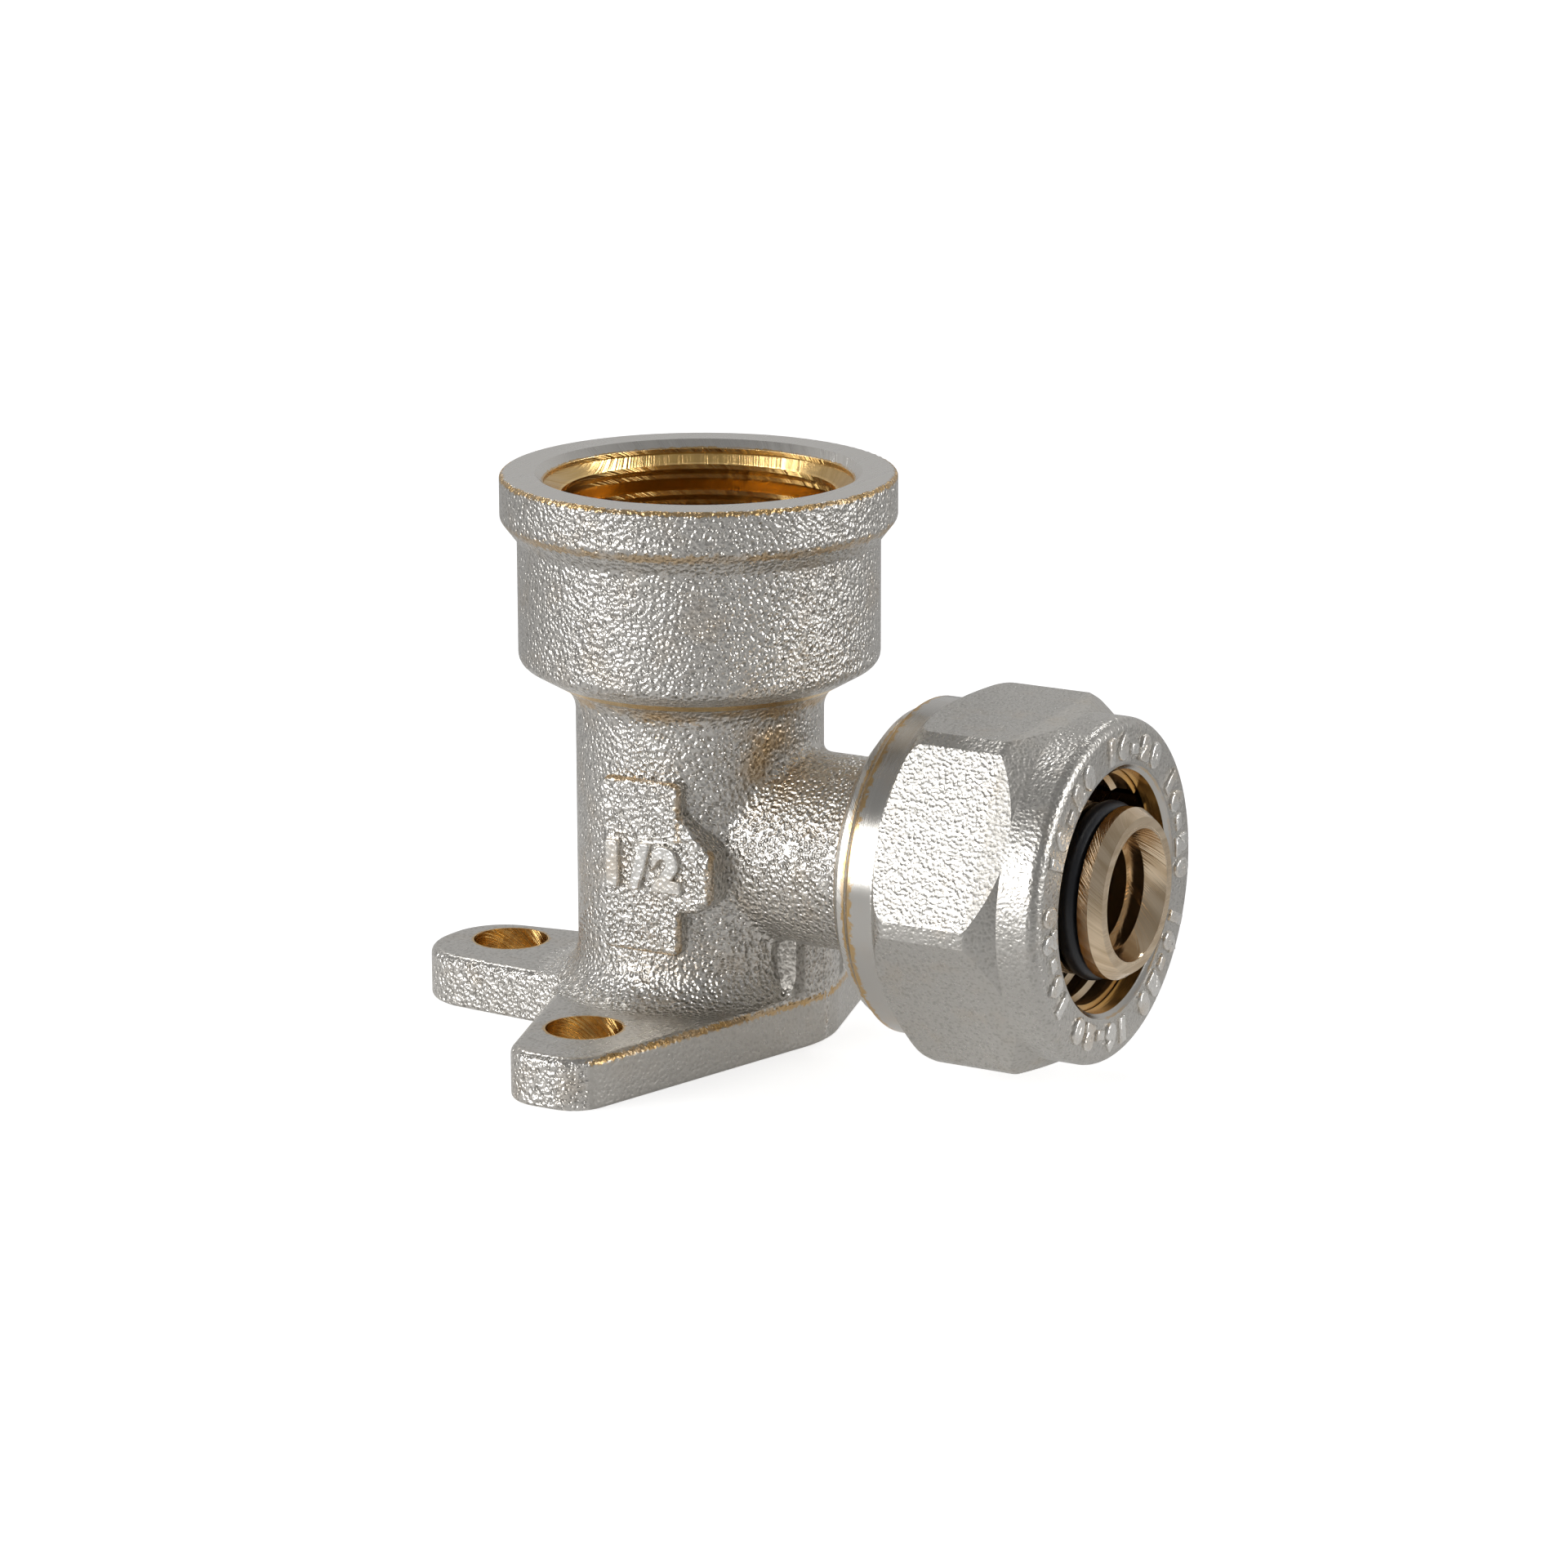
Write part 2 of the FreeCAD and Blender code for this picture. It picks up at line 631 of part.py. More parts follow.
def build_washer():
    body = new_body("insulating_washer")
    rear = f"{NUT_REAR} - dims.nut_gap + dims.male_thread_length - dims.recess_depth"
    inner = f"{STEM} + dims.washer_clearance"
    outer = f"{RECESS} - dims.washer_clearance"
    sketch = sketch_on(body, "washer_profile", "XZ_Plane", lift="dims.outlet_height")
    outline(sketch, [
        (rear, inner),
        (rear, outer),
        (f"{rear} + dims.washer_thickness", outer),
        (f"{rear} + dims.washer_thickness", inner),
    ])
    turned(body, "washer", sketch, "H_Axis")
    return body


pieces = [
    build_elbow_body(),
    build_nut(),
    build_split_ring(),
    build_seal("front_o_ring", "dims.front_groove_from_tip"),
    build_seal("rear_o_ring", "dims.rear_groove_from_tip"),
    build_washer(),
]
doc.recompute()

failed = [o.Label for o in doc.Objects if "Invalid" in o.State or "Error" in o.State]
if failed:
    raise RuntimeError(f"failed objects: {failed}")
os.makedirs("parts", exist_ok=True)
for piece in pieces:
    if piece.Shape.isNull() or not piece.Shape.isValid():
        raise RuntimeError(f"{piece.Label} has no valid shape")
    piece.Shape.exportStep(f"parts/{piece.Label}.step")
    box = piece.Shape.BoundBox
    print(piece.Label, len(piece.Shape.Solids), "solid", round(piece.Shape.Volume, 1), "mm3", box)
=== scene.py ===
import math
import bpy
from mathutils import Matrix, Vector


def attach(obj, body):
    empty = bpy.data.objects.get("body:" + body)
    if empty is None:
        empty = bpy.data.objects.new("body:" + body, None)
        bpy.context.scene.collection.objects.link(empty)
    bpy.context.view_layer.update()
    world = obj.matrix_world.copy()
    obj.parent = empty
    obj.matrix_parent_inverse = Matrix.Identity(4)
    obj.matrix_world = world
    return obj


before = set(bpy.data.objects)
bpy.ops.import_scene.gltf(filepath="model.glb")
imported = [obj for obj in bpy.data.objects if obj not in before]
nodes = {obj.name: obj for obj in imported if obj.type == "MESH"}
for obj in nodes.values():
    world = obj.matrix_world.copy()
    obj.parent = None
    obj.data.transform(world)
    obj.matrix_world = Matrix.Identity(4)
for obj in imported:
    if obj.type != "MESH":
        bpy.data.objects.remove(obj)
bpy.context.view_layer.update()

print("frame loaded:", len(nodes), "solids")

outletHeight = 0.0135  # m, the outlet's axis over the back of the wall plate
perMetre = 1000.0      # the shaders count in millimetres, all the rest in metres


# selection helpers

def deselectAll():
    if bpy.context.object and bpy.context.object.mode != "OBJECT":
        bpy.ops.object.mode_set(mode="OBJECT")
    bpy.ops.object.select_all(action="DESELECT")


def takeNew(name):  # the operator's new object, which is alone in the selection
    piece = bpy.context.object
    piece.name = name
    piece.data.name = name
    return piece


def pickPoints(piece, test):  # leaves edit mode on, with the points selected whose place passes the test
    bpy.ops.object.mode_set(mode="EDIT")
    bpy.ops.mesh.select_all(action="DESELECT")
    bpy.ops.mesh.select_mode(type="VERT")
    bpy.ops.object.mode_set(mode="OBJECT")
    for vert in piece.data.vertices:
        vert.select = test(vert.co)
    bpy.ops.object.mode_set(mode="EDIT")


def settle(piece, smoothAngle=32):
    bpy.ops.object.mode_set(mode="OBJECT")
    bpy.ops.object.select_all(action="DESELECT")
    piece.select_set(True)
    bpy.context.view_layer.objects.active = piece
    bpy.ops.object.transform_apply(location=True, rotation=True, scale=True)
    bpy.ops.object.shade_smooth_by_angle(angle=math.radians(smoothAngle))
    return piece


# shader helpers: a source is a number, a tuple or another node's output

def link(tree, source, socket):
    if isinstance(source, (int, float, tuple)):
        socket.default_value = source
    else:
        tree.links.new(source, socket)


def sums(tree, operation, *values, clamp=False):
    node = tree.nodes.new("ShaderNodeMath")
    node.operation = operation
    node.use_clamp = clamp
    for value, socket in zip(values, node.inputs):
        link(tree, value, socket)
    return node.outputs[0]


def vectorSums(tree, operation, place, other=None, result="Value"):
    node = tree.nodes.new("ShaderNodeVectorMath")
    node.operation = operation
    tree.links.new(place, node.inputs[0])
    if other:
        node.inputs[1].default_value = other
    return node.outputs[result]


def blendColour(tree, amount, first, second):
    node = tree.nodes.new("ShaderNodeMix")
    node.data_type = "RGBA"
    link(tree, amount, node.inputs[0])
    link(tree, first, node.inputs[6])
    link(tree, second, node.inputs[7])
    return node.outputs[2]


def blendValue(tree, amount, first, second):
    node = tree.nodes.new("ShaderNodeMix")
    link(tree, amount, node.inputs[0])
    link(tree, first, node.inputs[2])
    link(tree, second, node.inputs[3])
    return node.outputs[0]


def ramp(tree, value, low, high, toLow=0.0, toHigh=1.0):
    node = tree.nodes.new("ShaderNodeMapRange")
    node.interpolation_type = "SMOOTHSTEP"
    for source, socket in zip((value, low, high, toLow, toHigh), node.inputs):
        link(tree, source, socket)
    return node.outputs[0]


def noise(tree, place, scale, detail=2.0, roughness=0.5):
    node = tree.nodes.new("ShaderNodeTexNoise")
    tree.links.new(place, node.inputs["Vector"])
    link(tree, scale, node.inputs["Scale"])
    node.inputs["Detail"].default_value = detail
    node.inputs["Roughness"].default_value = roughness
    return node.outputs["Fac"]


def newGroup(name, inputs, outputs):
    tree = bpy.data.node_groups.new(name, "ShaderNodeTree")
    for label, kind, value in inputs:
        socket = tree.interface.new_socket(label, in_out="INPUT", socket_type=kind)
        if value is not None:
            socket.default_value = value
    for label in outputs:
        tree.interface.new_socket(label, in_out="OUTPUT", socket_type="NodeSocketFloat")
    return tree, tree.nodes.new("NodeGroupInput").outputs, tree.nodes.new("NodeGroupOutput").inputs


def useGroup(tree, name, **values):
    node = tree.nodes.new("ShaderNodeGroup")
    node.node_tree = bpy.data.node_groups[name]
    for label, value in values.items():
        link(tree, value, node.inputs[label])
    return node.outputs


# shader groups

def makeAxes():  # radius and reach about the socket's axis and the outlet's axis
    tree, given, put = newGroup(
        "pipeAxes",
        [("Place", "NodeSocketVector", None), ("OutletHeight", "NodeSocketFloat", outletHeight * perMetre)],
        ["SocketRadius", "Height", "OutletRadius", "Reach", "Side"],
    )
    parts = tree.nodes.new("ShaderNodeSeparateXYZ")
    tree.links.new(given["Place"], parts.inputs[0])
    x, y, z = parts.outputs
    sideSquare = sums(tree, "MULTIPLY", y, y)
    lift = sums(tree, "SUBTRACT", z, given["OutletHeight"])
    socketRadius = sums(tree, "SQRT", sums(tree, "MULTIPLY_ADD", x, x, sideSquare))
    outletRadius = sums(tree, "SQRT", sums(tree, "MULTIPLY_ADD", lift, lift, sideSquare))
    for source, label in ((socketRadius, "SocketRadius"), (z, "Height"), (outletRadius, "OutletRadius"),
                          (x, "Reach"), (y, "Side")):
        tree.links.new(source, put[label])


def makeBand():  # 1 between two values, with soft ends
    tree, given, put = newGroup(
        "bandMask",
        [("Value", "NodeSocketFloat", 0.0), ("Low", "NodeSocketFloat", 0.0),
         ("High", "NodeSocketFloat", 1.0), ("Soft", "NodeSocketFloat", 0.05)],
        ["Mask"],
    )
    up = ramp(tree, given["Value"], sums(tree, "SUBTRACT", given["Low"], given["Soft"]),
              sums(tree, "ADD", given["Low"], given["Soft"]))
    down = ramp(tree, given["Value"], sums(tree, "SUBTRACT", given["High"], given["Soft"]),
                sums(tree, "ADD", given["High"], given["Soft"]), 1.0, 0.0)
    tree.links.new(sums(tree, "MULTIPLY", up, down), put["Mask"])


grainShape = {  # scales are per pit
    "broadScale": 0.9, "broadHeight": 1.1, "fleckSpan": (0.48, 0.66),
    "pitScale": 0.95, "pitHeight": 0.5, "pitSmoothness": 0.35, "pitSpan": (0.12, 0.72),
    "cloudScale": 0.09,
}


def makeGrain():  # the blasted skin of a forging: crowded small pits with sharp crests
    tree, given, put = newGroup(
        "forgedGrain",
        [("Place", "NodeSocketVector", None), ("Cell", "NodeSocketFloat", 0.4)],
        ["Relief", "Fleck", "Cloud"],
    )
    shape = grainShape
    fineness = sums(tree, "DIVIDE", 1.0, given["Cell"])
    broad = noise(tree, given["Place"], sums(tree, "MULTIPLY", fineness, shape["broadScale"]), 1.5, 0.5)
    cells = tree.nodes.new("ShaderNodeTexVoronoi")
    cells.feature = "SMOOTH_F1"
    tree.links.new(given["Place"], cells.inputs["Vector"])
    tree.links.new(sums(tree, "MULTIPLY", fineness, shape["pitScale"]), cells.inputs["Scale"])
    cells.inputs["Smoothness"].default_value = shape["pitSmoothness"]
    pits = ramp(tree, cells.outputs["Distance"], *shape["pitSpan"])
    relief = sums(tree, "MULTIPLY_ADD", pits, shape["pitHeight"],
                  sums(tree, "MULTIPLY", broad, shape["broadHeight"]))
    cloud = noise(tree, given["Place"], sums(tree, "MULTIPLY", fineness, shape["cloudScale"]), 3.0, 0.6)
    tree.links.new(relief, put["Relief"])
    tree.links.new(ramp(tree, broad, *shape["fleckSpan"]), put["Fleck"])
    tree.links.new(cloud, put["Cloud"])


turnedShape = {"broadScale": 0.22, "broadShare": 0.7, "driftScale": 0.5, "driftShare": 0.3}


def makeTurned():  # fine lathe marks that follow a value, uneven from ring to ring
    tree, given, put = newGroup(
        "turnedMarks",
        [("Value", "NodeSocketFloat", 0.0), ("Spacing", "NodeSocketFloat", 0.12),
         ("Place", "NodeSocketVector", None)],
        ["Relief", "Tone"],
    )
    shape = turnedShape
    line = tree.nodes.new("ShaderNodeCombineXYZ")
    tree.links.new(sums(tree, "DIVIDE", given["Value"], given["Spacing"]), line.inputs[0])
    fine = noise(tree, line.outputs[0], 1.0, 2.0, 0.6)
    broad = noise(tree, line.outputs[0], shape["broadScale"], 2.0, 0.5)
    drift = noise(tree, given["Place"], shape["driftScale"], 1.0, 0.5)
    tone = sums(tree, "MULTIPLY_ADD", broad, shape["broadShare"],
                sums(tree, "MULTIPLY", drift, shape["driftShare"]))
    tree.links.new(fine, put["Relief"])
    tree.links.new(tone, put["Tone"])


wearShape = {
    "raggedScale": 2.6, "raggedSpan": (0.3, 0.7), "raggedWidths": (0.45, 1.5), "fade": (0.6, 1.1),
    "patchScale": 0.45, "patchSpan": (0.38, 0.6),
}


def makeWornCorner():  # where the plating has gone along an edge, given by two values that meet there
    tree, given, put = newGroup(
        "wornCorner",
        [("First", "NodeSocketFloat", 0.0), ("Second", "NodeSocketFloat", 0.0),
         ("AtFirst", "NodeSocketFloat", 0.0), ("AtSecond", "NodeSocketFloat", 0.0),
         ("Width", "NodeSocketFloat", 0.2), ("Gaps", "NodeSocketFloat", 0.5),
         ("Place", "NodeSocketVector", None)],
        ["Mask"],
    )
    shape = wearShape
    aside = sums(tree, "SUBTRACT", given["First"], given["AtFirst"])
    above = sums(tree, "SUBTRACT", given["Second"], given["AtSecond"])
    away = sums(tree, "SQRT", sums(tree, "MULTIPLY_ADD", aside, aside, sums(tree, "MULTIPLY", above, above)))
    ragged = noise(tree, given["Place"], shape["raggedScale"], 3.0, 0.6)
    patchy = noise(tree, given["Place"], shape["patchScale"], 2.0, 0.5)
    reach = sums(tree, "MULTIPLY", given["Width"],
                 ramp(tree, ragged, *shape["raggedSpan"], *shape["raggedWidths"]))
    near = ramp(tree, sums(tree, "DIVIDE", away, reach), *shape["fade"], 1.0, 0.0)
    gap = sums(tree, "MULTIPLY", given["Gaps"], ramp(tree, patchy, *shape["patchSpan"], 1.0, 0.0))
    tree.links.new(sums(tree, "MULTIPLY", near, sums(tree, "SUBTRACT", 1.0, gap), clamp=True), put["Mask"])


makeAxes()
makeBand()
makeGrain()
makeTurned()
makeWornCorner()
print("shader groups made")


# materials

finishes = {
    "nickel": (0.67, 0.645, 0.605, 1.0),
    "nickelShade": (0.42, 0.4, 0.365, 1.0),
    "nutNickel": (0.58, 0.56, 0.525, 1.0),
    "nutShade": (0.46, 0.445, 0.41, 1.0),
    "plateShadeNickel": (0.47, 0.45, 0.415, 1.0),
    "keelShadeNickel": (0.22, 0.205, 0.18, 1.0),
    "rubbedHighlightNickel": (0.82, 0.8, 0.76, 1.0),
    "goldenBrass": (0.92, 0.63, 0.24, 1.0),
    "goldenShade": (0.36, 0.21, 0.07, 1.0),
    "beigeBrass": (0.86, 0.69, 0.49, 1.0),
    "beigeShade": (0.34, 0.19, 0.05, 1.0),
    "wornBrass": (0.60, 0.40, 0.18, 1.0),
    "pitSpan": (0.35, 0.95),     # the grain's relief, from full painted shade to none
    "streakSpan": (0.4, 0.62),   # the turned marks' tone, from no streak to a full one
    "grainCell": 0.29,           # mm, one pit of the forging's skin
    "grainDepth": 0.00015,       # m
    "turnedDepth": 0.000018,     # m
}


def newMaterial(name):
    material = bpy.data.materials.new(name)
    material.use_nodes = True
    tree = material.node_tree
    shader = tree.nodes["Principled BSDF"]
    coordinates = tree.nodes.new("ShaderNodeTexCoord")
    scaled = tree.nodes.new("ShaderNodeVectorMath")
    scaled.operation = "SCALE"
    scaled.inputs["Scale"].default_value = perMetre
    tree.links.new(coordinates.outputs["Object"], scaled.inputs[0])
    return material, tree, shader, scaled.outputs[0]


def finishShader(tree, shader, colour, rough, normal, metallic=0.0):
    tree.links.new(colour, shader.inputs["Base Color"])
    tree.links.new(rough, shader.inputs["Roughness"])
    tree.links.new(normal, shader.inputs["Normal"])
    shader.inputs["Metallic"].default_value = metallic


def bump(tree, height, distance, before=None, strength=1.0):
    node = tree.nodes.new("ShaderNodeBump")
    link(tree, height, node.inputs["Height"])
    link(tree, strength, node.inputs["Strength"])
    node.inputs["Distance"].default_value = distance
    if before:
        tree.links.new(before, node.inputs["Normal"])
    return node.outputs["Normal"]


def both(tree, *masks):
    result = masks[0]
    for mask in masks[1:]:
        result = sums(tree, "MULTIPLY", result, mask)
    return result


def either(tree, *masks):
    result = masks[0]
    for mask in masks[1:]:
        result = sums(tree, "MAXIMUM", result, mask)
    return result


def distanceTo(tree, place, point):  # from an upright line through a point of the wall plate
    flat = vectorSums(tree, "MULTIPLY", place, (1.0, 1.0, 0.0), result="Vector")
    return vectorSums(tree, "DISTANCE", flat, point)


def wallDistance(tree, place, start, end):  # signed, across an upright wall from start to end
    along = (Vector(end) - Vector(start)).normalized()
    across = vectorSums(tree, "DOT_PRODUCT", place, (along.y, -along.x, 0.0))
    return sums(tree, "SUBTRACT", across, along.y * start[0] - along.x * start[1])


def skinColour(tree, grain, shade, pale):  # painted shade, darker in the pits of the grain
    return blendColour(tree, ramp(tree, grain["Relief"], *finishes["pitSpan"]), finishes[shade],
                       finishes[pale])


def grainRough(tree, grain, roughness):
    return ramp(tree, grain["Fleck"], 0.0, 1.0, *roughness)


def turnedRough(tree, turned, roughness):
    return ramp(tree, turned["Tone"], 0.3, 0.7, *roughness)


def maskTools(tree, place, marks):  # masks that take their numbers by name from a piece's dictionary
    def inBand(value, name):
        low, high, soft = marks["bands"][name]
        return useGroup(tree, "bandMask", Value=value, Low=low, High=high, Soft=soft)["Mask"]

    def wornAt(first, second, name):
        atFirst, atSecond, width, gaps = marks["wear"][name]
        return useGroup(tree, "wornCorner", First=first, AtFirst=atFirst, Second=second, AtSecond=atSecond,
                        Width=width, Gaps=gaps, Place=place)["Mask"]

    def share(mask, name):
        return sums(tree, "MULTIPLY", mask, marks["shares"][name])

    return inBand, wornAt, share


forgingMarks = {  # mm
    "holes": ((-15.5, 0.0, 0.0), (0.0, 15.5, 0.0), (0.0, -15.5, 0.0)),
    "longWalls": (((3.8, -22.3), (10.2, 0.0)), ((10.2, 0.0), (3.8, 22.3))),
    "warmSpot": (7.6, -3.8, 0.0),
    "bands": {  # from, to and how soft the two ends are
        "boreRadius": (-1.0, 10.62, 0.02), "boreHeight": (24.3, 38.04, 0.02),
        "passageRadius": (-1.0, 7.6, 0.1), "passageHeight": (4.6, 24.6, 0.1),
        "stemReach": (17.02, 90.0, 0.02),
        "stemBoreRadius": (-1.0, 4.6, 0.02), "stemBoreReach": (5.0, 90.0, 0.02),
        "holeRadius": (-1.0, 2.66, 0.03), "plateHeight": (-1.0, 3.7, 0.05),
        "rimRadius": (10.3, 13.2, 0.08), "rimHeight": (38.02, 60.0, 0.02),
        "shoulderReach": (15.66, 17.02, 0.03), "shoulderRadius": (6.9, 20.0, 0.1),
        "wallDepth": (-0.25, 3.0, 0.06), "wallHeight": (-1.0, 3.3, 0.15),
        "pressedRadius": (11.2, 60.0, 0.9), "pressedHeight": (3.45, 3.75, 0.08),
        "keelReach": (6.5, 11.0, 0.2), "keelSide": (2.4, 3.6, 0.2), "keelHeight": (3.8, 9.0, 0.3),
        "padReach": (-2.6, 3.5, 0.1), "padLow": (7.2, 10.3, 0.1), "padHigh": (15.2, 19.2, 0.1),
        "lobeLow": (10.2, 16.6, 0.1), "lobeHigh": (16.0, 17.4, 0.1),
        "warmSpot": (-1.0, 1.7, 1.7), "warmHeight": (17.5, 23.0, 1.8),
        "flankRadius": (9.45, 10.62, 0.08), "flankHeight": (25.0, 38.04, 0.1),
    },
    "wear": {  # the two values that meet at the corner, the bare line's width and how much of it is missing
        "rim": (13.38, 38.5, 0.24, 0.15), "mouth": (10.50, 38.05, 0.12, 0.5),
        "collar": (13.3, 35.35, 0.42, 0.6), "waist": (8.9, 23.9, 0.8, 0.9),
        "shoulderRear": (15.74, 9.62, 0.28, 0.3), "shoulderFront": (16.98, 10.58, 0.2, 0.3),
        "hole": (2.6, 3.6, 0.2, 0.35), "wall": (-0.1, 3.3, 0.28, 0.3),
        "padFront": (8.7, 3.42, 0.3, 0.7), "lobeFront": (8.6, 5.85, 0.4, 0.5),
        "padFoot": (8.7, 7.25, 0.25, 0.8), "padTop": (8.7, 19.1, 0.25, 0.6),
    },
    "shares": {  # how far each look covers what is under it
        "faint": 0.7, "warm": 0.85, "cloud": 0.16, "trimmed": 0.75, "pressed": 0.4, "calm": 0.78, "keel": 0.35,
        "goldenStreaks": 0.25, "beigeStreaks": 0.4, "flankShade": 0.42, "tarnish": 0.6,
    },
    "warmCloud": (0.35, 0.6), "wornCloud": (0.48, 0.75), "tarnishScale": 1.1, "tarnishSpan": (0.4, 0.62),
    "grainRough": (0.34, 0.22), "machinedRough": (0.22, 0.36), "rawRough": (0.12, 0.22), "keelRougher": 0.35,
    "turnedSpacing": 0.12, "stemBoreSpacing": 0.36,
    "turnedHeight": 1.7, "boredHeight": 3.2,  # times the depth that all turned marks have
}


def makeForging():
    material, tree, shader, place = newMaterial("platedForging")
    marks, shares = forgingMarks, forgingMarks["shares"]
    inBand, wornAt, share = maskTools(tree, place, marks)
    axes = useGroup(tree, "pipeAxes", Place=place)
    radius, height, outletRadius, reach = (axes[label] for label in
                                           ("SocketRadius", "Height", "OutletRadius", "Reach"))
    outward = sums(tree, "ABSOLUTE", axes["Side"])
    grain = useGroup(tree, "forgedGrain", Place=place, Cell=finishes["grainCell"])

    # raw brass: socket bore, passage, screw holes, all of the outlet in front of its shoulder
    bore = both(tree, inBand(radius, "boreRadius"), inBand(height, "boreHeight"))
    passage = both(tree, inBand(radius, "passageRadius"), inBand(height, "passageHeight"))
    stemBore = both(tree, inBand(outletRadius, "stemBoreRadius"), inBand(reach, "stemBoreReach"))
    beige = either(tree, inBand(reach, "stemReach"), stemBore)
    holeDistances = [distanceTo(tree, place, spot) for spot in marks["holes"]]
    holes = both(tree, either(tree, *[inBand(away, "holeRadius") for away in holeDistances]),
                 inBand(height, "plateHeight"))
    raw = either(tree, bore, passage, holes, beige)
    spacing = blendValue(tree, stemBore, marks["turnedSpacing"], marks["stemBoreSpacing"])
    turned = useGroup(tree, "turnedMarks", Place=place, Value=sums(tree, "ADD", reach, height), Spacing=spacing)

    # machined and plated: rim, mouth chamfer, shoulder; trimmed and pressed: plate
    rim = both(tree, inBand(height, "rimHeight"), inBand(radius, "rimRadius"))
    shoulder = both(tree, inBand(reach, "shoulderReach"), inBand(outletRadius, "shoulderRadius"))
    machined = either(tree, rim, shoulder)
    walls = [wallDistance(tree, place, *wall) for wall in marks["longWalls"]]
    trimmed = both(tree, either(tree, *[inBand(wall, "wallDepth") for wall in walls]),
                   inBand(height, "wallHeight"))
    pressed = both(tree, inBand(height, "pressedHeight"), inBand(radius, "pressedRadius"))
    keelSides = both(tree, inBand(reach, "keelReach"), inBand(outward, "keelSide"), inBand(height, "keelHeight"))

    # worn through to the brass, with a warm brass tint in cloud patches in the cove by the neck
    padReach = inBand(reach, "padReach")
    padHeights = either(tree, inBand(height, "padLow"), inBand(height, "padHigh"))
    lobeHeights = either(tree, inBand(height, "lobeLow"), inBand(height, "lobeHigh"))
    faint = [
        wornAt(radius, height, "collar"),
        wornAt(radius, height, "waist"),
        both(tree, wornAt(outward, reach, "padFront"), padHeights),
        both(tree, wornAt(outward, reach, "lobeFront"), lobeHeights),
        both(tree, wornAt(outward, height, "padFoot"), padReach),
        both(tree, wornAt(outward, height, "padTop"), padReach),
    ]
    clear = [
        wornAt(radius, height, "rim"),
        wornAt(radius, height, "mouth"),
        wornAt(reach, outletRadius, "shoulderRear"),
        wornAt(reach, outletRadius, "shoulderFront"),
        *[wornAt(away, height, "hole") for away in holeDistances],
        *[wornAt(wall, height, "wall") for wall in walls],
    ]
    warm = both(tree, inBand(distanceTo(tree, place, marks["warmSpot"]), "warmSpot"),
                inBand(height, "warmHeight"), ramp(tree, grain["Cloud"], *marks["warmCloud"]))
    bared = either(tree, *clear, share(either(tree, *faint), "faint"), share(warm, "warm"))

    colour = skinColour(tree, grain, "nickelShade", "nickel")
    colour = blendColour(tree, ramp(tree, grain["Cloud"], *marks["wornCloud"], 0.0, shares["cloud"]), colour,
                         finishes["wornBrass"])
    # painted shade: the trimmed walls and the pressed plate are drawn in a darker, even nickel
    plateShade = either(tree, share(trimmed, "trimmed"), share(pressed, "pressed"))
    # painted shade: the keel's sides are drawn in a dark nickel
    for mask, finish in ((plateShade, "plateShadeNickel"), (share(keelSides, "keel"), "keelShadeNickel"),
                         (machined, "nickel"), (bared, "wornBrass")):
        colour = blendColour(tree, mask, colour, finishes[finish])

    brass = blendColour(tree, beige, finishes["goldenBrass"], finishes["beigeBrass"])
    streaks = ramp(tree, turned["Tone"], *finishes["streakSpan"], 0.0,
                   blendValue(tree, beige, shares["goldenStreaks"], shares["beigeStreaks"]))
    # painted shade on the thread's flanks in the socket's bore; the tarnish in the screw holes is the brass's own
    flankShade = both(tree, inBand(radius, "flankRadius"), inBand(height, "flankHeight"))
    tarnish = both(tree, holes, ramp(tree, noise(tree, place, marks["tarnishScale"], 3.0, 0.6),
                                     *marks["tarnishSpan"]))
    shadeAndTarnish = either(tree, share(flankShade, "flankShade"), share(tarnish, "tarnish"))
    for mask in (streaks, shadeAndTarnish):
        brass = blendColour(tree, mask, brass, finishes["goldenShade"])

    calm = either(tree, raw, machined, share(either(tree, trimmed, pressed), "calm"))
    skinRough = sums(tree, "MULTIPLY_ADD", keelSides, marks["keelRougher"],
                     grainRough(tree, grain, marks["grainRough"]))
    rough = blendValue(tree, calm, skinRough, turnedRough(tree, turned, marks["machinedRough"]))
    rough = blendValue(tree, raw, rough, turnedRough(tree, turned, marks["rawRough"]))
    skin = bump(tree, grain["Relief"], finishes["grainDepth"],
                strength=sums(tree, "SUBTRACT", 1.0, calm, clamp=True))
    deeper = blendValue(tree, either(tree, bore, holes, stemBore), marks["turnedHeight"], marks["boredHeight"])
    normal = bump(tree, sums(tree, "MULTIPLY", turned["Relief"], deeper), finishes["turnedDepth"], before=skin,
                  strength=either(tree, raw, machined))
    finishShader(tree, shader, blendColour(tree, raw, colour, brass), rough, normal, metallic=1.0)
    return material


nutMarks = {  # mm, laid out as the forging's
    "bands": {
        "boreRadius": (-1.0, 9.7, 0.03), "boreReach": (17.35, 30.1, 0.05),
        "throatRadius": (-1.0, 8.2, 0.02), "throatReach": (30.0, 31.3, 0.04),
        "collarReach": (10.0, 19.45, 0.08), "frontCone": (27.1, 28.9, 0.2),
        "lipRadius": (8.0, 8.62, 0.06), "lipReach": (31.0, 90.0, 0.05),
    },
    "wear": {"rearEdge": (17.6, 11.36, 0.42, 0.15), "mouth": (31.6, 8.45, 0.1, 0.9)},
    "shares": {"mouth": 0.6, "cloud": 0.12, "streaks": 0.4},
    "wornCloud": (0.5, 0.78), "grainRough": (0.38, 0.27), "turnedRough": (0.14, 0.24), "coneRougher": 0.14,
    "grainSize": 0.88, "grainHeight": 0.27,  # times the forging's
    "turnedSpacing": 0.16,
}


